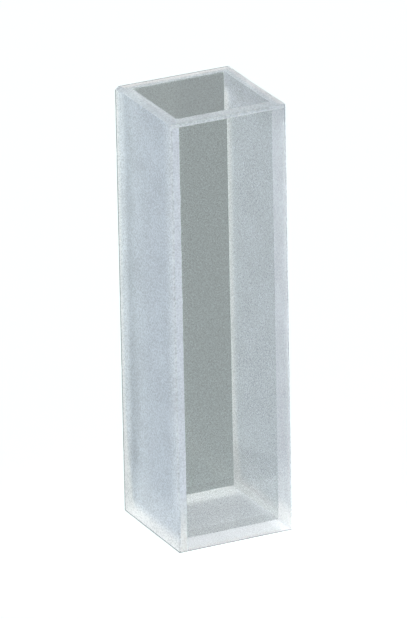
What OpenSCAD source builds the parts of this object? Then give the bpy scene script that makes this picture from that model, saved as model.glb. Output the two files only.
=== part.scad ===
// Square spectroscopy cell (cuvette) for a 10 mm light path.
//
// Five plates of clear glass are fused edge to edge. The front and rear windows run the
// full width and carry the light. The two sides stand between them, and the base plate
// lies at the foot, inside all four walls. The top is open.
//
// +Z is up, and the origin is the middle of the underside. The front window faces -Y.
// Sizes are in millimetres.

/* [Cell] */
// Light path: the gap between the two windows
path_len = 10; // [8:0.5:20]
// Gap between the two sides
inner_w = 10; // [8:0.5:12]
// Height from the underside to the rim
cell_h = 45; // [30:0.5:55]

/* [Glass] */
// Thickness of the two windows
window_t = 1.25; // [1:0.05:2]
// Thickness of the two sides
side_t = 1.25; // [1:0.05:2]
// Thickness of the base plate
base_t = 1.1; // [0.8:0.05:3]

/* [Edges] */
// Width of the arris ground along every outer edge
arris = 0.12; // [0.05:0.01:0.3]
// Length cut off each edge at the rubbed rear left corner of the rim
worn_corner = 0.45; // [0.3:0.05:0.8]
// The same at the rear right corner of the rim
nipped_corner = 0.25; // [0.2:0.05:0.8]

/* [Hidden] */
outer_w = inner_w + 2 * side_t;
outer_d = path_len + 2 * window_t;
// Angle between an edge of a box and the diagonal through its corner
diagonal_tilt = acos(1 / sqrt(3));
// Block that clears a corner, several times larger than any cut
cutter = 4;

glass_clear = [0.86, 0.90, 0.90, 0.35];
glass_ground = [0.74, 0.79, 0.83, 0.75];

// Rectangle centred on the origin, with its four corners cut at 45 degrees.
module arrissed_rectangle(w, h) {
    x = w / 2;
    y = h / 2;
    polygon([
        [-x + arris, -y], [x - arris, -y], [x, -y + arris], [x, y - arris],
        [x - arris, y], [-x + arris, y], [-x, y - arris], [-x, -y + arris],
    ]);
}

// Box standing on the origin with an arris along all twelve edges.
module arrissed_block(w, d, h) {
    intersection() {
        linear_extrude(h) arrissed_rectangle(w, d);
        translate([0, d / 2, h / 2])
            rotate([90, 0, 0])
                linear_extrude(d) arrissed_rectangle(w, h);
        translate([-w / 2, 0, h / 2])
            rotate([90, 0, 90])
                linear_extrude(w) arrissed_rectangle(d, h);
    }
}

// Block that takes a three-sided nip off the rim's corner, size long down each edge.
// sx and sy, 1 or -1, say which corner.
module corner_cut(sx, sy, size) {
    translate([sx * outer_w / 2, sy * outer_d / 2, cell_h])
        rotate([0, diagonal_tilt, atan2(sy, sx)])
            translate([-cutter / 2, -cutter / 2, -size / sqrt(3)])
                cube(cutter);
}

// Outer form of the whole cell, before it is divided into plates.
module cell_block() {
    difference() {
        arrissed_block(outer_w, outer_d, cell_h);
        corner_cut(-1, 1, worn_corner);
        corner_cut(1, 1, nipped_corner);
    }
}

// Part of the cell's outer form that lies in a box from low to high.
module plate(low, high) {
    intersection() {
        cell_block();
        translate(low) cube(high - low);
    }
}

// Polished window on the -Y side of the light path.
module front_window() {
    color(glass_clear)
        plate([-outer_w / 2, -outer_d / 2, 0], [outer_w / 2, -path_len / 2, cell_h]);
}

// Polished window on the +Y side of the light path.
module rear_window() {
    color(glass_clear)
        plate([-outer_w / 2, path_len / 2, 0], [outer_w / 2, outer_d / 2, cell_h]);
}

// Side wall on -X, ground on its outer face.
module left_side() {
    color(glass_ground)
        plate([-outer_w / 2, -path_len / 2, 0], [-inner_w / 2, path_len / 2, cell_h]);
}

// Side wall on +X, ground on its outer face.
module right_side() {
    color(glass_ground)
        plate([inner_w / 2, -path_len / 2, 0], [outer_w / 2, path_len / 2, cell_h]);
}

// Floor of the cell, flush with the walls underneath and ground there.
module base_plate() {
    color(glass_ground)
        plate([-inner_w / 2, -path_len / 2, 0], [inner_w / 2, path_len / 2, base_t]);
}

front_window();
rear_window();
left_side();
right_side();
base_plate();
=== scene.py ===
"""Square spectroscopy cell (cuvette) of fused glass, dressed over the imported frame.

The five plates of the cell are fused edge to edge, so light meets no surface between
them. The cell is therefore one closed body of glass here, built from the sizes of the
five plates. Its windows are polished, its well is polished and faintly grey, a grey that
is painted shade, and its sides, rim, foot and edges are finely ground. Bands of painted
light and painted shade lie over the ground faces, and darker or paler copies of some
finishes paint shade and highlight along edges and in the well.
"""

import logging
import math
import random
from dataclasses import dataclass, field
from enum import IntEnum

import bpy
from mathutils import Matrix, Vector, noise


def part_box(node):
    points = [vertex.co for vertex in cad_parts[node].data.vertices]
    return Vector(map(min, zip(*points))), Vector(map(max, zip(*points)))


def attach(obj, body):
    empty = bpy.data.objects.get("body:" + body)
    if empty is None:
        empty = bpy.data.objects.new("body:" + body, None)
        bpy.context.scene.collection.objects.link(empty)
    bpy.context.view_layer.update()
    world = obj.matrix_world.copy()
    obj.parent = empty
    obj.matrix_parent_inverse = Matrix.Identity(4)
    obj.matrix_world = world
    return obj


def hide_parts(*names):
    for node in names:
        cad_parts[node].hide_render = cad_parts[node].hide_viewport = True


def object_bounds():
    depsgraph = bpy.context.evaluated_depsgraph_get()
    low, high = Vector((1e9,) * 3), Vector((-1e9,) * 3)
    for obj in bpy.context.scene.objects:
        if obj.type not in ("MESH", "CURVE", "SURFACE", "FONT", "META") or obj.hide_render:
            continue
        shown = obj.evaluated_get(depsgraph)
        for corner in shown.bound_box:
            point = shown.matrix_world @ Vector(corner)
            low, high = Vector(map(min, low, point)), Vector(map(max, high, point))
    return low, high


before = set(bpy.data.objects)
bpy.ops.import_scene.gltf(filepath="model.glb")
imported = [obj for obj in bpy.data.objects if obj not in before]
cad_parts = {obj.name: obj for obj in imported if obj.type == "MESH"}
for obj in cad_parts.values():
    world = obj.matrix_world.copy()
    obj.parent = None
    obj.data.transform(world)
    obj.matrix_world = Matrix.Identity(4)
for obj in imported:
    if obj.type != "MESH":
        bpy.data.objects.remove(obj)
CAD_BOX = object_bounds()

LOG = logging.getLogger("cuvette")
MM = 0.001
WHITE = (1.0, 1.0, 1.0)
GLASS_INDEX = 1.46
GLASS_BOUNCES = 32
OTHER_BOUNCES = 16
PLATES = ("front_window", "rear_window", "left_side", "right_side", "base_plate")


def towards(azimuth: float, elevation: float) -> Vector:
    """Give the direction from the cell to a place around it.

    Args:
        azimuth: Degrees round from the front, growing towards the right.
        elevation: Degrees above the table.

    Returns:
        The unit vector that points there.
    """
    a = math.radians(azimuth)
    e = math.radians(elevation)
    return Vector((math.sin(a) * math.cos(e), -math.cos(a) * math.cos(e), math.sin(e)))


class Finish(IntEnum):
    """The finishes on the cell, in the order of its material slots.

    Attributes:
        WINDOW: Outer faces of the two windows.
        LEFT: Outer face of the left side, with the upright edges beside it, under bands of
            painted light and painted shade.
        WELL: Inner faces of the two windows, faintly grey: painted shade.
        RIM: The rim, with its outer edge at the right and rear and the edge of the mouth, under
            bands of painted light and painted shade.
        FOOT: The underside, with its edge at the right and rear, under bands of painted light
            and painted shade.
        EDGE: Edge of the foot at the front and left, painted dark as shade.
        FLOOR: Floor of the well, a darker grey than the well: painted shade.
        CHEEK: Inner faces of the two sides, a darker grey than the well: painted shade.
        MARGIN: Ground margin on the windows, under the rim, with painted shade along its top.
        RIGHT: Outer face of the right side, with the upright edges beside it, under bands of
            painted light and painted shade.
        STRIP: Ground strip down the left of the front window, whose lightness is painted light.
        BROW: Outer edge of the rim at the front and left, a darker copy of the rim: painted
            shade.
        RIM_HIGHLIGHT: Painted highlight, a pale line along the rear of the rim.
    """

    WINDOW = 0
    LEFT = 1
    WELL = 2
    RIM = 3
    FOOT = 4
    EDGE = 5
    FLOOR = 6
    CHEEK = 7
    MARGIN = 8
    RIGHT = 9
    STRIP = 10
    BROW = 11
    RIM_HIGHLIGHT = 12


class Side(IntEnum):
    """The four walls, in the order in which an outline runs round them."""

    FRONT = 0
    RIGHT = 1
    REAR = 2
    LEFT = 3


# --------------------------------------------------------------------------- finishes


@dataclass(frozen=True)
class PolishedGlass:
    """Clear polished glass, with a trace of haze left by the polish.

    Attributes:
        name: Name of the material.
        colour: Colour of the glass; each crossing tints light by its square root.
        haze: Highest roughness, reached in small patches.
        dust: Share of the colour that the finest dust takes where it is thickest.
        wave: Depth in metres of the slow waves left in the polished face.
        swell: Length of one such wave in metres.
        patch: Size of one patch of haze in metres.
        patch_span: Part of the noise over which haze grows from none to its highest.
        speck: Size of one speck of dust in metres.
        speck_span: Part of the noise over which dust thins from its thickest to none.
    """

    name: str
    colour: tuple[float, float, float]
    haze: float = 0.02
    dust: float = 0.14
    wave: float = 0.0002 * MM
    swell: float = 7.0 * MM
    patch: float = 2.5 * MM
    patch_span: tuple[float, float] = (0.5, 0.8)
    speck: float = 0.16 * MM
    speck_span: tuple[float, float] = (0.38, 0.62)

    def material(self) -> bpy.types.Material:
        """Build the material.

        Returns:
            The finished material.
        """
        material, shader, place = start_glass(self.name, clarity=1.0)
        tree = material.node_tree
        specks = add_noise(tree, place, self.speck, detail=2.0)
        dust = add_range(tree, specks, self.speck_span, (1.0 - self.dust, 1.0))
        colour = add_mix(tree, "RGBA", "MULTIPLY", 1.0, self.colour, dust)
        tree.links.new(colour, shader.inputs["Base Color"])
        patches = add_noise(tree, place, self.patch, detail=4.0)
        haze = add_range(tree, patches, self.patch_span, (0.0, self.haze))
        tree.links.new(haze, shader.inputs["Roughness"])
        swell = add_noise(tree, place, self.swell, detail=1.0)
        tree.links.new(add_bump(tree, swell, self.wave), shader.inputs["Normal"])
        return material


@dataclass(frozen=True)
class PaintedBand:
    """A band of another colour on a ground face, measured along one axis.

    These bands are painted light and painted shade: they stand in for the light that travels
    inside the walls and comes out through the ground skin, and for dark lines along edges.

    Attributes:
        axis: Index of the axis along which the place is measured.
        start: Place where the colour begins to show, in metres.
        full: Place past which nothing but that colour shows.
        colour: The colour.
        signed: Whether it holds on one side of the cell's axis only.
        edge_on: Whether it shows only where the face is seen nearly edge on.
        lean: How far the band draws back for each metre of height.
        edge_span: Turn of the face, from 0 facing to 1 edge on, over which it then shows.
    """

    axis: int
    start: float
    full: float
    colour: tuple[float, float, float]
    signed: bool = False
    edge_on: bool = False
    lean: float = 0.0
    edge_span: tuple[float, float] = (0.42, 0.58)


@dataclass(frozen=True)
class GroundGlass:
    """Finely ground glass, which scatters light both through and back.

    Attributes:
        name: Name of the material.
        colour: Colour between the darkest and the lightest grains.
        clarity: Share of the light that still passes through.
        painted_bands: Bands of painted light and painted shade, each of another colour, laid
            one over the other.
        shade: How the darkest and the lightest grains change the colour.
        contrast: Part of the noise, either side of its middle, between darkest and lightest.
        roughness: Roughness between the grains and on them.
        rough_span: Part of the noise over which the one turns into the other.
        grain: Size of one grain in metres.
        tooth: Depth of the grain in metres.
        cloud: Size in metres of the broad clouds that the grinding leaves.
        cloud_share: Share of the clouds in the shade, beside the grains.
    """

    name: str
    colour: tuple[float, float, float]
    clarity: float
    painted_bands: tuple[PaintedBand, ...] = ()
    shade: tuple[float, float] = (0.70, 1.18)
    contrast: float = 0.12
    roughness: tuple[float, float] = (0.85, 1.0)
    rough_span: tuple[float, float] = (0.3, 0.7)
    grain: float = 0.17 * MM
    tooth: float = 0.006 * MM
    cloud: float = 3.5 * MM
    cloud_share: float = 0.2

    def material(self) -> bpy.types.Material:
        """Build the material.

        Returns:
            The finished material.
        """
        material, shader, place = start_glass(self.name, self.clarity)
        tree = material.node_tree
        grain = add_noise(tree, place, self.grain, detail=2.0)
        cloud = add_noise(tree, place, self.cloud, detail=3.0)
        mottle = add_mix(tree, "FLOAT", "MIX", self.cloud_share, grain, cloud)
        middle = (0.5 - self.contrast, 0.5 + self.contrast)
        shade = add_range(tree, mottle, middle, self.shade)
        colour = add_mix(tree, "RGBA", "MULTIPLY", 1.0, self.ground_colour(tree, place), shade)
        colour.node.clamp_result = True
        tree.links.new(colour, shader.inputs["Base Color"])
        rough = add_range(tree, grain, self.rough_span, self.roughness)
        tree.links.new(rough, shader.inputs["Roughness"])
        tree.links.new(add_bump(tree, grain, self.tooth), shader.inputs["Normal"])
        return material

    def ground_colour(
        self, tree: bpy.types.NodeTree, place: bpy.types.NodeSocket
    ) -> bpy.types.NodeSocket | tuple[float, float, float]:
        """Give the colour of the ground face, before its grains.

        Args:
            tree: Node tree of the material.
            place: Socket with the position on the surface.

        Returns:
            The socket with the colour, or the colour itself where it is even.
        """
        # The bands laid over the colour are painted light and painted shade.
        if not self.painted_bands:
            return self.colour
        split = tree.nodes.new("ShaderNodeSeparateXYZ")
        tree.links.new(place, split.inputs["Vector"])
        colour = self.colour
        for band in self.painted_bands:
            distance = split.outputs[band.axis]
            if not band.signed:
                distance = add_math(tree, "ABSOLUTE", distance)
            if band.lean:
                back = add_math(tree, "MULTIPLY", split.outputs["Z"], band.lean)
                distance = add_math(tree, "SUBTRACT", distance, back)
            span = (band.start, band.full)
            shown = add_range(tree, distance, span, (0.0, 1.0), smooth=True)
            if band.edge_on:
                facing = tree.nodes.new("ShaderNodeLayerWeight").outputs["Facing"]
                turned = add_range(tree, facing, band.edge_span, (0.0, 1.0), smooth=True)
                shown = add_math(tree, "MULTIPLY", shown, turned)
            colour = add_mix(tree, "RGBA", "MIX", shown, colour, band.colour)
        return colour


Input = bpy.types.NodeSocket | float | tuple[float, float, float]


def start_glass(
    name: str, clarity: float
) -> tuple[bpy.types.Material, bpy.types.Node, bpy.types.NodeSocket]:
    """Start a glass material.

    Args:
        name: Name of the material.
        clarity: Share of the light that passes through its surface.

    Returns:
        The material, its shader, and the socket with the position on the surface.
    """
    material = bpy.data.materials.new(name)
    material.use_nodes = True
    tree = material.node_tree
    shader = tree.nodes["Principled BSDF"]
    shader.inputs["IOR"].default_value = GLASS_INDEX
    shader.inputs["Transmission Weight"].default_value = clarity
    return material, shader, tree.nodes.new("ShaderNodeTexCoord").outputs["Object"]


def feed(tree: bpy.types.NodeTree, value: Input, socket: bpy.types.NodeSocket) -> None:
    """Link a socket to another, or set it to a number or a colour.

    Args:
        tree: Node tree of both sockets.
        value: The socket, number or colour that goes in.
        socket: The input that takes it.
    """
    if isinstance(value, bpy.types.NodeSocket):
        tree.links.new(value, socket)
    elif isinstance(value, tuple):
        socket.default_value = (*value, 1.0)
    else:
        socket.default_value = value


def add_math(tree: bpy.types.NodeTree, operation: str, *values: Input) -> bpy.types.NodeSocket:
    """Add a node that works out one number from one or two values.

    Args:
        tree: Node tree that takes the node.
        operation: What the node does with the values.
        *values: The values.

    Returns:
        The socket with the result.
    """
    node = tree.nodes.new("ShaderNodeMath")
    node.operation = operation
    for value, socket in zip(values, node.inputs):
        feed(tree, value, socket)
    return node.outputs["Value"]


def add_mix(
    tree: bpy.types.NodeTree, kind: str, blend: str, share: Input, first: Input, second: Input
) -> bpy.types.NodeSocket:
    """Add a mix of two values or colours.

    Args:
        tree: Node tree that takes the node.
        kind: FLOAT for values and RGBA for colours.
        blend: How the second is laid over the first.
        share: Share of the second.
        first: The first value or colour.
        second: The second value or colour.

    Returns:
        The socket with the result.
    """
    node = tree.nodes.new("ShaderNodeMix")
    node.data_type = kind
    if kind == "RGBA":
        node.blend_type = blend
    numbers = {"FLOAT": (0, 2, 3, 0), "RGBA": (0, 6, 7, 2)}[kind]
    for value, number in zip((share, first, second), numbers):
        feed(tree, value, node.inputs[number])
    return node.outputs[numbers[3]]


def add_noise(
    tree: bpy.types.NodeTree, place: bpy.types.NodeSocket, size: float, detail: float
) -> bpy.types.NodeSocket:
    """Add a noise texture.

    Args:
        tree: Node tree that takes the texture.
        place: Socket with the position on the surface.
        size: Size of one feature in metres.
        detail: Number of finer layers.

    Returns:
        The socket with the noise, from 0 to 1.
    """
    texture = tree.nodes.new("ShaderNodeTexNoise")
    texture.inputs["Scale"].default_value = 1.0 / size
    texture.inputs["Detail"].default_value = detail
    tree.links.new(place, texture.inputs["Vector"])
    return texture.outputs["Fac"]


def add_range(
    tree: bpy.types.NodeTree,
    value: bpy.types.NodeSocket,
    source: tuple[float, float],
    target: tuple[float, float],
    smooth: bool = False,
) -> bpy.types.NodeSocket:
    """Add a node that maps one range of values to another.

    Args:
        tree: Node tree that takes the node.
        value: Socket with the value.
        source: The two values that come in.
        target: Values that these two become.
        smooth: Whether the values between them leave and arrive gently.

    Returns:
        The socket with the mapped value.
    """
    node = tree.nodes.new("ShaderNodeMapRange")
    node.interpolation_type = "SMOOTHSTEP" if smooth else "LINEAR"
    node.inputs["From Min"].default_value = source[0]
    node.inputs["From Max"].default_value = source[1]
    node.inputs["To Min"].default_value = target[0]
    node.inputs["To Max"].default_value = target[1]
    tree.links.new(value, node.inputs["Value"])
    return node.outputs["Result"]


def add_bump(
    tree: bpy.types.NodeTree, height: bpy.types.NodeSocket, depth: float
) -> bpy.types.NodeSocket:
    """Add a bump node.

    Args:
        tree: Node tree that takes the node.
        height: Socket with the height, from 0 to 1.
        depth: Depth in metres of the whole range of heights.

    Returns:
        The socket with the normal.
    """
    node = tree.nodes.new("ShaderNodeBump")
    node.inputs["Strength"].default_value = 1.0
    node.inputs["Distance"].default_value = depth
    tree.links.new(height, node.inputs["Height"])
    return node.outputs["Normal"]


FINISHES = {
    Finish.WINDOW: PolishedGlass("window_polish", (0.985, 1.0, 1.0), haze=0.03, dust=0.20),
    # The two sides are one ground glass; the bands on each are painted light and painted shade.
    Finish.LEFT: GroundGlass(
        name="ground_left",
        colour=(0.57, 0.62, 0.685),
        clarity=0.52,
        painted_bands=(
            # Painted shade, then painted light: darker towards the rear, then lighter, near
            # white at the rear edge.
            PaintedBand(1, 1.8 * MM, 3.4 * MM, (0.51, 0.56, 0.62), signed=True),
            PaintedBand(1, 3.7 * MM, 4.8 * MM, (0.735, 0.785, 0.84), signed=True),
            PaintedBand(1, 5.0 * MM, 5.8 * MM, (0.94, 0.985, 1.0), signed=True),
            # Painted light: lighter towards the front edge, and a little lighter again at the
            # edge itself.
            PaintedBand(1, -4.2 * MM, -6.0 * MM, (0.70, 0.745, 0.80), signed=True),
            PaintedBand(1, -5.98 * MM, -6.12 * MM, (0.80, 0.84, 0.89), signed=True),
            # Painted light: lighter towards the foot, most of all low at the rear and along the
            # foot.
            PaintedBand(2, 6.5 * MM, 2.5 * MM, (0.635, 0.685, 0.745)),
            PaintedBand(1, 3.16 * MM, 4.36 * MM, (0.97, 0.995, 1.0), signed=True, lean=0.18),
            PaintedBand(2, 2.4 * MM, 0.5 * MM, WHITE),
            # Painted shade: a dark line along the very foot.
            PaintedBand(2, 0.24 * MM, 0.12 * MM, (0.35, 0.37, 0.38)),
            # Painted shade: a dark line along the rear edge, where the face is seen nearly edge
            # on.
            PaintedBand(1, 5.90 * MM, 6.02 * MM, (0.20, 0.22, 0.23), signed=True, edge_on=True),
        ),
    ),
    Finish.RIGHT: GroundGlass(
        name="ground_right",
        colour=(0.595, 0.645, 0.71),
        clarity=0.52,
        painted_bands=(
            # Painted light: lighter towards the rear edge and towards the front edge.
            PaintedBand(1, 4.1 * MM, 5.8 * MM, (0.96, 1.0, 1.0), signed=True),
            PaintedBand(1, -4.2 * MM, -6.0 * MM, (0.73, 0.775, 0.83), signed=True),
            # Painted shade: darker just below the rim.
            PaintedBand(2, 42.2 * MM, 43.6 * MM, (0.50, 0.545, 0.60)),
            # Painted light: lighter towards the foot, most of all low at the rear and along the
            # foot.
            PaintedBand(2, 8.0 * MM, 3.0 * MM, (0.74, 0.79, 0.84)),
            PaintedBand(1, 3.16 * MM, 4.36 * MM, (0.97, 1.0, 1.0), signed=True, lean=0.18),
            PaintedBand(2, 3.0 * MM, 0.8 * MM, WHITE),
        ),
    ),
    # Painted shade: the faint grey of the well dims what shows through the windows and the
    # sides.
    Finish.WELL: PolishedGlass("well_polish", (0.877, 0.898, 0.893)),
    Finish.RIM: GroundGlass(
        name="ground_rim",
        colour=(0.815, 0.87, 0.91),
        clarity=0.5,
        painted_bands=(
            # Painted highlight: the rear part of the rim is white, and the right end is
            # lighter.
            PaintedBand(1, 5.2 * MM, 5.6 * MM, WHITE, signed=True),
            PaintedBand(0, 5.3 * MM, 5.9 * MM, (0.96, 0.99, 1.0), signed=True),
            # Painted shade: darker towards the left end.
            PaintedBand(0, -5.4 * MM, -5.8 * MM, (0.76, 0.82, 0.87), signed=True),
            # Painted shade: a dark line along the outer edge at the rear, where it is seen
            # nearly edge on.
            PaintedBand(1, 5.94 * MM, 6.06 * MM, (0.48, 0.50, 0.51), signed=True, edge_on=True),
        ),
        shade=(0.80, 1.15),
    ),
    Finish.FOOT: GroundGlass(
        name="ground_foot",
        colour=(0.585, 0.60, 0.63),
        clarity=0.35,
        painted_bands=(
            # Painted light: a pale band towards the rear.
            PaintedBand(1, 2.9 * MM, 4.6 * MM, (0.95, 0.95, 0.95), signed=True),
            # Painted light, then painted shade: a little lighter towards the front, a little
            # darker again near the front edge.
            PaintedBand(1, -0.5 * MM, -3.0 * MM, (0.64, 0.66, 0.68), signed=True),
            PaintedBand(1, -4.4 * MM, -5.2 * MM, (0.605, 0.61, 0.62), signed=True),
            # Painted light: lighter towards the right end.
            PaintedBand(0, 4.6 * MM, 5.8 * MM, (0.82, 0.84, 0.86), signed=True),
        ),
        shade=(0.78, 1.12),
    ),
    # Painted shade: the dark edge of the foot at the front and left stands in for the thin
    # shadow where the cell meets the table.
    Finish.EDGE: GroundGlass("ground_edge_painted_shade", (0.16, 0.17, 0.18), clarity=0.5),
    # Painted shade: a darker grey than the well on its floor, which dims the foot seen through
    # it.
    Finish.FLOOR: PolishedGlass("floor_polish_painted_shade", (0.773, 0.783, 0.783), haze=0.03, dust=0.10),
    Finish.MARGIN: GroundGlass(
        name="ground_margin",
        colour=(0.87, 0.91, 0.955),
        clarity=0.5,
        # Painted shade: darker along the top of the margin.
        painted_bands=(PaintedBand(2, 44.68 * MM, 44.8 * MM, (0.79, 0.83, 0.87)),),
        shade=(0.80, 1.15),
    ),
    # Painted light: this ground strip is light, in the place of the light that shows down the
    # solid corner, and lighter still towards the foot.
    Finish.STRIP: GroundGlass(
        name="ground_strip_painted_light",
        colour=(0.78, 0.81, 0.89),
        clarity=0.5,
        painted_bands=(
            PaintedBand(2, 7.0 * MM, 2.5 * MM, (0.80, 0.81, 0.82)),
            PaintedBand(2, 3.4 * MM, 1.4 * MM, (0.96, 0.95, 0.93)),
        ),
        shade=(0.85, 1.15),
    ),
    # Painted shade: a darker copy of the rim along its outer edge at the front and left, with
    # painted light towards the front.
    Finish.BROW: GroundGlass(
        name="ground_brow_painted_shade",
        colour=(0.74, 0.79, 0.84),
        clarity=0.5,
        painted_bands=(PaintedBand(1, -6.0 * MM, -6.1 * MM, (0.88, 0.93, 0.97), signed=True),),
        shade=(0.80, 1.15),
    ),
    # Painted highlight: a pale line along the rear of the rim.
    Finish.RIM_HIGHLIGHT: GroundGlass("ground_rim_painted_highlight", WHITE, clarity=0.1, shade=(0.86, 1.15)),
    # Painted shade: a darker grey than the well on the inner faces of the sides, which dims the
    # side seen through the window.
    Finish.CHEEK: PolishedGlass("cheek_polish_painted_shade", (0.676, 0.653, 0.658), dust=0.10),
}


# ------------------------------------------------------------------------------- cell


@dataclass(frozen=True)
class Station:
    """A place on an outline, on a straight side or on the corner that follows it.

    Attributes:
        side: The side, or the side before the corner.
        share: How far along the straight side, from 0 to 1.
        turn: Degrees turned round the corner, or 0 on the straight side.
    """

    side: Side
    share: float
    turn: float = 0.0


@dataclass(frozen=True)
class Nick:
    """A small nick in a ground edge: its place, depth and length in metres."""

    place: Vector
    depth: float
    reach: float


@dataclass
class GroundEdge:
    """A ground edge, whose width wanders a little and is nicked here and there.

    Attributes:
        width: Width of the edge in metres.
        wander: Share of the width by which it wanders.
        pitch: Length of one wander in metres.
        widest: Greatest width that a nick may give it.
        nicks: The nicks in it.
    """

    width: float
    wander: float
    pitch: float
    widest: float
    nicks: list[Nick] = field(default_factory=list)

    def width_at(self, place: Vector) -> float:
        """Give the width of the edge at a place.

        Args:
            place: The place on the sharp edge, in metres.

        Returns:
            The width in metres.
        """
        width = self.width * (1.0 + self.wander * noise.noise(place / self.pitch))
        for nick in self.nicks:
            away = (place - nick.place).length / nick.reach
            width += nick.depth * math.exp(-away * away)
        return min(width, self.widest)


@dataclass
class Outline:
    """A level rectangle with round corners, about its own middle.

    Attributes:
        half_w: Half its width, along X.
        half_d: Half its depth, along Y.
    """

    half_w: float
    half_d: float

    def corner(self, number: int) -> Vector:
        """Give a sharp corner of the rectangle.

        Args:
            number: Number of the side that it comes before, counted round and round.

        Returns:
            The corner, at height 0.
        """
        sign_x = -1.0 if number % 4 in (0, 3) else 1.0
        sign_y = -1.0 if number % 4 in (0, 1) else 1.0
        return Vector((sign_x * self.half_w, sign_y * self.half_d, 0.0))

    def point(self, station: Station, radii: list[float], inset: float) -> Vector:
        """Give the point of the outline at a station.

        Args:
            station: Where on the outline.
            radii: Radius of each of the four corners, in metres.
            inset: How far inside the outline the point lies, in metres.

        Returns:
            The point, at height 0.
        """
        heading = math.radians(90.0 * station.side - 90.0 + station.turn)
        out = Vector((math.cos(heading), math.sin(heading), 0.0))
        first, last = (self.centre(station.side + step, radii) for step in (0, 1))
        if station.turn:
            return last + out * (radii[(station.side + 1) % 4] - inset)
        first = first + out * (radii[station.side] - inset)
        last = last + out * (radii[(station.side + 1) % 4] - inset)
        return first.lerp(last, station.share)

    def centre(self, number: int, radii: list[float]) -> Vector:
        """Give the centre of a round corner.

        Args:
            number: Number of the corner, counted round and round.
            radii: Radius of each of the four corners, in metres.

        Returns:
            The centre, at height 0.
        """
        corner = self.corner(number)
        radius = radii[number % 4]
        inward = Vector((math.copysign(radius, corner.x), math.copysign(radius, corner.y), 0.0))
        return corner - inward


@dataclass(frozen=True)
class CutCorner:
    """A corner of the rim that is rubbed or nipped off.

    Attributes:
        corner: Number of the corner, counted as an outline counts it.
        cut: Length cut off each of the three edges, in metres.
        hollow: How deep the cut face is hollowed, in metres.
        run: Share of the cut's depth over which the hollow reaches its own depth.
        rough: Share of the hollow by which its depth wanders.
        grit: Length of one such wander, in metres.
    """

    corner: int
    cut: float
    hollow: float
    run: float = 0.5
    rough: float = 0.5
    grit: float = 0.12 * MM


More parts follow.
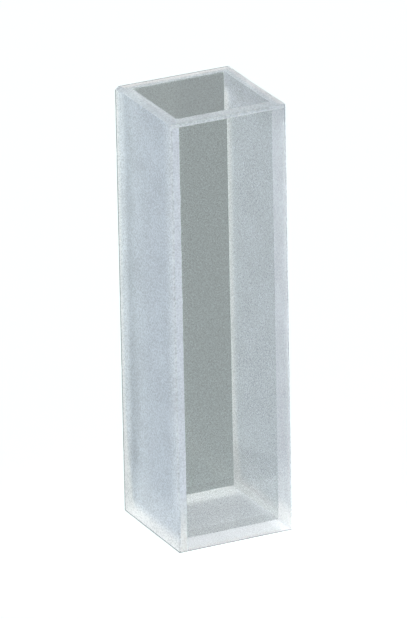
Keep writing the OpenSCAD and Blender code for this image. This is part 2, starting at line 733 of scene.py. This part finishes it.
@dataclass
class FusedCell:
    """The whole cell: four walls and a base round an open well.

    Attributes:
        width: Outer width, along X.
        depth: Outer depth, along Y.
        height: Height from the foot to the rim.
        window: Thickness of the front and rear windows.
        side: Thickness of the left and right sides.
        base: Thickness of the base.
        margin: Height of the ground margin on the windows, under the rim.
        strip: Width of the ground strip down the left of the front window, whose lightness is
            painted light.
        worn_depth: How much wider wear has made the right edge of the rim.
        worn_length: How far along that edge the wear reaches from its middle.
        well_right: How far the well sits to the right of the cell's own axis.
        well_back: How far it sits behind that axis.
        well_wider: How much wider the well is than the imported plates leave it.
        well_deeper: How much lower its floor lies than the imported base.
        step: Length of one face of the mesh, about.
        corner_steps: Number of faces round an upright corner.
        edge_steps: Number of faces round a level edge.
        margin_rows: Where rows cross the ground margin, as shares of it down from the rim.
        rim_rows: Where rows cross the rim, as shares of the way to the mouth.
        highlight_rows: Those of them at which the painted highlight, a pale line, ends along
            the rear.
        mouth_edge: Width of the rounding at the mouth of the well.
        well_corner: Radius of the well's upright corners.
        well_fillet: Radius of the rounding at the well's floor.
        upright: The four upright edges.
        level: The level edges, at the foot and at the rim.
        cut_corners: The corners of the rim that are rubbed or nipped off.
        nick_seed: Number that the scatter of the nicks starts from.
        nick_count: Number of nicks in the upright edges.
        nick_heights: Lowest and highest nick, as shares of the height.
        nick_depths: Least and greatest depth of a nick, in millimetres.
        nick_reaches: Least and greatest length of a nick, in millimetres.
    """

    width: float
    depth: float
    height: float
    window: float
    side: float
    base: float
    margin: float = 0.4 * MM
    strip: float = 0.75 * MM
    worn_depth: float = 0.13 * MM
    worn_length: float = 6.0 * MM
    well_right: float = 0.075 * MM
    well_back: float = 0.06 * MM
    well_wider: float = 0.09 * MM
    well_deeper: float = 0.04 * MM
    step: float = 0.39 * MM
    corner_steps: int = 4
    edge_steps: int = 3
    margin_rows: tuple[float, ...] = (0.8, 0.65)
    rim_rows: tuple[float, ...] = (0.08, 0.18, 0.3, 0.5, 0.75)
    highlight_rows: tuple[float, ...] = (0.3, 0.5)
    mouth_edge: float = 0.02 * MM
    well_corner: float = 0.018 * MM
    well_fillet: float = 0.012 * MM
    upright: GroundEdge = field(default_factory=lambda: GroundEdge(
        width=0.17 * MM, wander=0.1, pitch=1.3 * MM, widest=0.32 * MM))
    level: GroundEdge = field(default_factory=lambda: GroundEdge(
        width=0.10 * MM, wander=0.2, pitch=1.1 * MM, widest=0.25 * MM))
    cut_corners: tuple[CutCorner, ...] = (
        CutCorner(corner=3, cut=0.45 * MM, hollow=0.03 * MM),
        CutCorner(corner=2, cut=0.25 * MM, hollow=0.02 * MM),
    )
    nick_seed: int = 11
    nick_count: int = 26
    nick_heights: tuple[float, float] = (0.03, 0.97)
    nick_depths: tuple[float, float] = (0.02, 0.07)
    nick_reaches: tuple[float, float] = (0.15, 0.5)

    @classmethod
    def from_frame(cls) -> "FusedCell":
        """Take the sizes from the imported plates.

        Returns:
            The cell, not built yet.
        """
        front_low, front_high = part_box("front_window")
        _, rear_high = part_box("rear_window")
        left_low, left_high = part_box("left_side")
        base_low, base_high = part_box("base_plate")
        return cls(
            width=front_high.x - front_low.x,
            depth=rear_high.y - front_low.y,
            height=front_high.z - base_low.z,
            window=front_high.y - front_low.y,
            side=left_high.x - left_low.x,
            base=base_high.z - base_low.z,
        )

    @property
    def outer(self) -> Outline:
        """The outline of the outer walls."""
        return Outline(self.width / 2, self.depth / 2)

    @property
    def inner(self) -> Outline:
        """The outline of the well, about the well's own middle."""
        half_w = (self.width + self.well_wider) / 2 - self.side
        return Outline(half_w, self.depth / 2 - self.window)

    def stations(self) -> list[Station]:
        """List the stations round an outline, closer together near the corners.

        Returns:
            The stations, from the front left corner round by the right.
        """
        count = round(self.width / self.step)
        found = []
        for side in Side:
            for i in range(count + 1):
                found.append(Station(side, 0.5 - 0.5 * math.cos(math.pi * i / count)))
            for i in range(1, self.corner_steps):
                found.append(Station(side, 1.0, 90.0 * i / self.corner_steps))
        return found

    def add_nicks(self) -> None:
        """Nick the upright edges, the same way each time, and wear the rim's right edge."""
        draw = random.Random(self.nick_seed)
        for _ in range(self.nick_count):
            corner = self.outer.corner(draw.randrange(4))
            corner.z = draw.uniform(*self.nick_heights) * self.height
            depth = draw.uniform(*self.nick_depths) * MM
            reach = draw.uniform(*self.nick_reaches) * MM
            self.upright.nicks.append(Nick(corner, depth, reach))
        worn = Vector((self.width / 2, 0.0, self.height))
        self.level.nicks.append(Nick(worn, self.worn_depth, self.worn_length))

    def radii(self, height: float) -> list[float]:
        """Give the radius of the four upright edges at a height."""
        up = Vector((0.0, 0.0, height))
        return [self.upright.width_at(self.outer.corner(number) + up) for number in range(4)]

    def outer_row(self, height: float) -> list[Vector]:
        """Give one row of points round the outer walls.

        Args:
            height: Height of the row in metres.

        Returns:
            One point for each station.
        """
        radii = self.radii(height)
        up = Vector((0.0, 0.0, height))
        return [self.outer.point(station, radii, 0.0) + up for station in self.stations()]

    def edge_rows(self, height: float, inward: float) -> list[list[Vector]]:
        """Give the rows that round the level edge at the foot or at the rim.

        Args:
            height: Height of the sharp edge in metres.
            inward: 1 where the wall rises from the edge, -1 where it hangs from it.

        Returns:
            The rows, from the level face round to the wall.
        """
        radii = self.radii(height + inward * self.margin)
        rows = []
        for i in range(self.edge_steps + 1):
            turn = math.radians(90.0 * i / self.edge_steps)
            row = []
            for station in self.stations():
                sharp = self.outer.point(station, radii, 0.0) + Vector((0.0, 0.0, height))
                width = self.level.width_at(sharp)
                point = self.outer.point(station, radii, width * (1.0 - math.sin(turn)))
                point.z = height + inward * width * (1.0 - math.cos(turn))
                row.append(point)
            rows.append(row)
        return rows

    def wall_heights(self) -> list[float]:
        """List the heights of the rows on the outer walls.

        Returns:
            The heights in metres, from the foot up to the ground margin.
        """
        low = self.margin
        high = self.height - self.margin
        count = round((high - low) / self.step)
        return [low + (high - low) * i / count for i in range(count + 1)]

    def well_row(self, height: float, inset: float) -> list[Vector]:
        """Give one row of points round the well.

        Args:
            height: Height of the row in metres.
            inset: How far inside the well's outline it lies, in metres.

        Returns:
            One point for each station.
        """
        radii = [self.well_corner] * 4
        middle = Vector((self.well_right, self.well_back, height))
        return [self.inner.point(station, radii, inset) + middle for station in self.stations()]

    def well_rows(self) -> list[tuple[list[Vector], Finish]]:
        """Give the rows of the well, from the mouth down to its floor.

        Returns:
            Each row, with the finish of the band that ends at it.
        """
        turns = [math.radians(90.0 * i / self.edge_steps) for i in range(self.edge_steps + 1)]
        rows = []
        for turn in turns:
            inset = -self.mouth_edge * (1.0 - math.sin(turn))
            drop = self.mouth_edge * (1.0 - math.cos(turn))
            rows.append((self.well_row(self.height - drop, inset), Finish.RIM))
        high = self.height - self.mouth_edge
        floor = self.base - self.well_deeper
        low = floor + self.well_fillet
        count = round((high - low) / (2 * self.step))
        for i in range(1, count):
            rows.append((self.well_row(high + (low - high) * i / count, 0.0), Finish.WELL))
        for turn in reversed(turns):
            inset = self.well_fillet * (1.0 - math.sin(turn))
            rise = self.well_fillet * (1.0 - math.cos(turn))
            rows.append((self.well_row(floor + rise, inset), Finish.FLOOR))
        return rows

    def rows(self) -> list[tuple[list[Vector], Finish]]:
        """Give every row of points, from the foot up the walls and down into the well.

        Returns:
            Each row, with the finish of the band that ends at it.
        """
        found = [(row, Finish.EDGE) for row in self.edge_rows(0.0, 1.0)]
        for height in self.wall_heights():
            found.append((self.outer_row(height), Finish.WINDOW))
        for share in self.margin_rows:
            found.append((self.outer_row(self.height - self.margin * share), Finish.MARGIN))
        edge = list(reversed(self.edge_rows(self.height, -1.0)))
        found.append((edge[0], Finish.MARGIN))
        found += [(row, Finish.BROW) for row in edge[1:]]
        rim = found[-1][0]
        well = self.well_rows()
        for share in self.rim_rows:
            # The bands of the rim that end at the listed rows carry the painted highlight along
            # the rear.
            finish = Finish.RIM_HIGHLIGHT if share in self.highlight_rows else Finish.RIM
            found.append(([a.lerp(b, share) for a, b in zip(rim, well[0][0])], finish))
        return found + well

    def face_finish(self, band: Finish, a: Station, b: Station) -> Finish:
        """Choose the finish of one face.

        Args:
            band: Finish of the band that the face is in.
            a: Station at the start of the face.
            b: Station at its end.

        Returns:
            The band's own finish, or the one that this side or corner has instead.
        """
        beside = a.side in (Side.LEFT, Side.RIGHT)
        turning = bool(a.turn or b.turn)
        # The dark foot edge, painted shade, lies at the front and left alone.
        if band is Finish.EDGE and a.side not in (Side.FRONT, Side.LEFT):
            return Finish.FOOT
        # The darker brow, painted shade, lies at the front and left alone; the right and rear
        # keep the rim.
        if band is Finish.BROW and a.side not in (Side.FRONT, Side.LEFT):
            return Finish.RIM
        # The painted highlight on the rim lies along the rear alone.
        if band is Finish.RIM_HIGHLIGHT and (a.side is not Side.REAR or turning):
            return Finish.RIM
        # The sides of the well take the darker cheek: painted shade.
        if band is Finish.WELL and beside and not turning:
            return Finish.CHEEK
        upright_edge = turning or a.side != b.side
        if band in (Finish.WINDOW, Finish.MARGIN) and (upright_edge or beside):
            return Finish.RIGHT if a.side in (Side.FRONT, Side.RIGHT) else Finish.LEFT
        # The light ground strip, painted light, runs down the left of the front window.
        if band is Finish.WINDOW and a.side is Side.FRONT and b.share * self.width < self.strip:
            return Finish.STRIP
        return band

    def rub_corners(self, points: list[Vector]) -> None:
        """Press the points beyond each rubbed corner of the rim back onto its cut.

        Args:
            points: Every point of the cell, changed in place.
        """
        for cut in self.cut_corners:
            corner = self.outer.corner(cut.corner)
            corner.z = self.height
            normal = Vector((corner.x, corner.y, abs(corner.x))).normalized()
            reach = cut.cut / math.sqrt(3.0)
            for point in points:
                beyond = reach + (point - corner).dot(normal)
                if beyond > 0.0:
                    hollow = cut.hollow * min(1.0, beyond / (cut.run * reach))
                    rough = 1.0 + cut.rough * noise.noise(point / cut.grit)
                    point -= normal * (beyond + hollow * rough)

    def build(self) -> bpy.types.Object:
        """Build the closed mesh of the whole cell.

        Returns:
            The object, with the finish of each face as its material slot.
        """
        self.add_nicks()
        stations = self.stations()
        rows = self.rows()
        count = len(stations)
        points = [point.copy() for row, _ in rows for point in row]
        self.rub_corners(points)
        faces = [tuple(reversed(range(count)))]
        finishes = [Finish.FOOT]
        for level in range(1, len(rows)):
            for i in range(count):
                j = (i + 1) % count
                low = (level - 1) * count
                high = level * count
                faces.append((low + i, low + j, high + j, high + i))
                finishes.append(self.face_finish(rows[level][1], stations[i], stations[j]))
        faces.append(tuple(range((len(rows) - 1) * count, len(rows) * count)))
        finishes.append(Finish.FLOOR)
        mesh = bpy.data.meshes.new("fused_cell")
        mesh.from_pydata([point[:] for point in points], [], faces)
        for finish in Finish:
            mesh.materials.append(FINISHES[finish].material())
        mesh.polygons.foreach_set("material_index", [int(finish) for finish in finishes])
        mesh.validate()
        piece = bpy.data.objects.new("fused_cell", mesh)
        bpy.context.scene.collection.objects.link(piece)
        return piece

    def dress(self, piece: bpy.types.Object) -> None:
        """Put the cell in the place of its five plates.

        Args:
            piece: The cell.
        """
        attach(piece, "root")
        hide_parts(*PLATES)


# ----------------------------------------------------------------------------- studio


@dataclass
class Table:
    """The pale table top that the cell stands on.

    Attributes:
        half: Half its width in metres.
        colour: Its colour.
        gap: Clearance under the cell, which keeps the two faces apart.
    """

    half: float = 6.0
    colour: tuple[float, float, float] = (0.90, 0.985, 0.985)
    gap: float = 0.02 * MM

    def build(self) -> bpy.types.Object:
        """Build the table top.

        Returns:
            The table top.
        """
        mesh = bpy.data.meshes.new("table")
        corners = [(-1, -1), (1, -1), (1, 1), (-1, 1)]
        points = [(x * self.half, y * self.half, -self.gap) for x, y in corners]
        mesh.from_pydata(points, [], [(0, 1, 2, 3)])
        mesh.materials.append(self.material())
        table = bpy.data.objects.new("table", mesh)
        bpy.context.scene.collection.objects.link(table)
        return table

    def material(self) -> bpy.types.Material:
        """Build the matt white of the table top.

        Returns:
            The material.
        """
        material = bpy.data.materials.new("table_white")
        material.use_nodes = True
        shader = material.node_tree.nodes["Principled BSDF"]
        shader.inputs["Base Color"].default_value = (*self.colour, 1.0)
        shader.inputs["Roughness"].default_value = 1.0
        shader.inputs["Specular IOR Level"].default_value = 0.0
        return material


@dataclass(frozen=True)
class SoftBox:
    """A square soft box that lights the cell.

    Attributes:
        name: Name of the lamp.
        azimuth: Degrees round from the front.
        elevation: Degrees above the table.
        power: Its power in watts.
        size: Width of the square in metres.
        distance: Distance from the cell in metres.
    """

    name: str
    azimuth: float
    elevation: float
    power: float
    size: float = 0.4
    distance: float = 0.5


def group_of(name: str, piece: bpy.types.Object) -> bpy.types.Collection:
    """Put one object in a collection of its own, for the lamps to name.

    Args:
        name: Name of the collection.
        piece: The object.

    Returns:
        The collection.
    """
    group = bpy.data.collections.new(name)
    group.objects.link(piece)
    return group


@dataclass
class Studio:
    """Plain soft light: an even surround, a lamp on the table and soft light on the cell.

    The table lamp lights the table alone. The shadow that the cell casts there lies
    behind it, and is the plain grey that shows through the clear windows.

    Attributes:
        azimuth: Where the table lamp stands, in degrees round from the front.
        elevation: Its height, in degrees above the table.
        fill: Strength of the surround, as the table and the cell receive it.
        table_light: Strength of the lamp on the table.
        lamp_width: How wide that lamp looks, in degrees.
        lamp_height: How tall it looks, in degrees.
        lamp_distance: How far away it stands, in metres.
        aim_height: Height in metres of the place at which every lamp is aimed.
        soft_boxes: The soft boxes round the cell.
    """

    azimuth: float = -25.844
    elevation: float = 20.1
    fill: float = 0.382
    table_light: float = 6.6
    lamp_width: float = 1.0
    lamp_height: float = 0.15
    lamp_distance: float = 300.0
    aim_height: float = 0.02
    soft_boxes: tuple[SoftBox, ...] = (
        SoftBox("rear_box", azimuth=-150.0, elevation=30.0, power=1.266),
        SoftBox("top_box", azimuth=154.0, elevation=60.0, power=0.555),
        SoftBox("right_box", azimuth=80.0, elevation=15.0, power=0.512),
    )

    def build(self, cell: bpy.types.Object, table: bpy.types.Object) -> None:
        """Build the surround and the lamps.

        Args:
            cell: The cell.
            table: The table top.
        """
        self.surround()
        cell_group = group_of("cell_group", cell)
        table_group = group_of("table_group", table)
        self.table_lamp().light_linking.receiver_collection = table_group
        for box in self.soft_boxes:
            lamp = self.soft_box(box)
            lamp.light_linking.receiver_collection = cell_group
            lamp.light_linking.blocker_collection = table_group

    def surround(self) -> None:
        """Build the world: pale fill light that the camera, gloss and glass see as white."""
        world = bpy.data.worlds.new("surround")
        bpy.context.scene.world = world
        world.use_nodes = True
        tree = world.node_tree
        fill = tree.nodes["Background"]
        fill.inputs["Color"].default_value = (*WHITE, 1.0)
        fill.inputs["Strength"].default_value = self.fill
        white = tree.nodes.new("ShaderNodeBackground")
        white.inputs["Color"].default_value = (*WHITE, 1.0)
        white.inputs["Strength"].default_value = 1.0
        path = tree.nodes.new("ShaderNodeLightPath")
        seen = path.outputs["Is Camera Ray"]
        for kind in ("Is Glossy Ray", "Is Transmission Ray"):
            seen = add_math(tree, "MAXIMUM", seen, path.outputs[kind])
        direct = add_math(tree, "LESS_THAN", path.outputs["Diffuse Depth"], 0.5)
        seen = add_math(tree, "MULTIPLY", seen, direct)
        mix = tree.nodes.new("ShaderNodeMixShader")
        tree.links.new(seen, mix.inputs["Fac"])
        tree.links.new(fill.outputs["Background"], mix.inputs[1])
        tree.links.new(white.outputs["Background"], mix.inputs[2])
        tree.links.new(mix.outputs["Shader"], tree.nodes["World Output"].inputs["Surface"])

    def table_lamp(self) -> bpy.types.Object:
        """Add the distant lamp that keeps the table white.

        Returns:
            The lamp.
        """
        lamp = bpy.data.lights.new("table_lamp", "AREA")
        lamp.shape = "RECTANGLE"
        lamp.size = self.lamp_distance * math.radians(self.lamp_width)
        lamp.size_y = self.lamp_distance * math.radians(self.lamp_height)
        lamp.energy = self.table_light * math.pi * self.lamp_distance ** 2
        side = towards(self.azimuth, self.elevation)
        return self.aim(lamp, side, self.lamp_distance)

    def soft_box(self, box: SoftBox) -> bpy.types.Object:
        """Add a soft box.

        Args:
            box: What it is like and where it stands.

        Returns:
            The lamp.
        """
        lamp = bpy.data.lights.new(box.name, "AREA")
        lamp.shape = "SQUARE"
        lamp.size = box.size
        lamp.energy = box.power
        stand = self.aim(lamp, towards(box.azimuth, box.elevation), box.distance)
        stand.visible_camera = False
        return stand

    def aim(self, lamp: bpy.types.Light, side: Vector, distance: float) -> bpy.types.Object:
        """Stand a lamp to one side of the cell, facing it.

        Args:
            lamp: The lamp's data.
            side: Direction from the cell to the lamp.
            distance: How far away it stands, in metres.

        Returns:
            The lamp.
        """
        lamp.cycles.use_multiple_importance_sampling = False
        stand = bpy.data.objects.new(lamp.name, lamp)
        bpy.context.scene.collection.objects.link(stand)
        stand.location = Vector((0.0, 0.0, self.aim_height)) + side * distance
        stand.rotation_mode = "QUATERNION"
        stand.rotation_quaternion = (-side).to_track_quat("-Z", "Y")
        return stand


@dataclass
class View:
    """The camera, a long lens a little above the rim.

    Attributes:
        azimuth: Degrees round from the front.
        elevation: Degrees above the table.
        roll: Degrees by which the camera leans.
        distance: Distance from the middle of the cell, in metres.
        lens: Focal length in millimetres.
        film: Width of the film in millimetres.
        clip: Nearest distance that the camera sees, in metres.
        drop: How far the camera sits below the line to the middle, in metres.
        aside: How far it sits to the left of that line, in metres.
    """

    azimuth: float = -25.844
    elevation: float = 21.483
    roll: float = -1.124
    distance: float = 0.891
    lens: float = 525.9
    film: float = 36.0
    clip: float = 0.01
    drop: float = 0.004 * MM
    aside: float = 0.059 * MM

    def build(self, middle: Vector) -> bpy.types.Object:
        """Build the camera and make it the scene's own.

        Args:
            middle: Middle of the cell.

        Returns:
            The camera.
        """
        back = towards(self.azimuth, self.elevation)
        level = Vector((-back.y, back.x, 0.0)).normalized()
        lean = Matrix.Rotation(math.radians(self.roll), 3, back)
        right = lean @ level
        up = back.cross(right)
        camera = bpy.data.cameras.new("camera")
        camera.lens = self.lens
        camera.sensor_width = self.film
        camera.clip_start = self.clip
        stand = bpy.data.objects.new("camera", camera)
        place = middle + back * self.distance - up * self.drop - right * self.aside
        turn = Matrix((right, up, back)).transposed().to_4x4()
        stand.matrix_world = Matrix.Translation(place) @ turn
        bpy.context.scene.collection.objects.link(stand)
        bpy.context.scene.camera = stand
        return stand


def set_light_paths(scene: bpy.types.Scene) -> None:
    """Show plain colours, and let light cross the many faces of the glass.

    Args:
        scene: The scene.
    """
    scene.view_settings.view_transform = "Standard"
    scene.cycles.max_bounces = GLASS_BOUNCES
    scene.cycles.transmission_bounces = GLASS_BOUNCES
    scene.cycles.diffuse_bounces = OTHER_BOUNCES
    scene.cycles.glossy_bounces = OTHER_BOUNCES


def main() -> None:
    """Build the cell, the table, the light and the camera, and report each."""
    logging.basicConfig(level=logging.INFO, format="%(name)s: %(message)s")
    cell = FusedCell.from_frame()
    piece = cell.build()
    cell.dress(piece)
    faces = len(piece.data.polygons)
    LOG.info("%s: %d faces in place of %d plates", piece.name, faces, len(PLATES))
    top = Table()
    table = top.build()
    LOG.info("%s: pale, %.0f m wide", table.name, 2 * top.half)
    studio = Studio()
    studio.build(piece, table)
    LOG.info("studio: surround, table lamp and %d soft boxes", len(studio.soft_boxes))
    camera = View().build((CAD_BOX[0] + CAD_BOX[1]) / 2)
    LOG.info("%s: %.1f mm lens", camera.name, camera.data.lens)
    set_light_paths(bpy.context.scene)


if __name__ == "__main__":
    main()
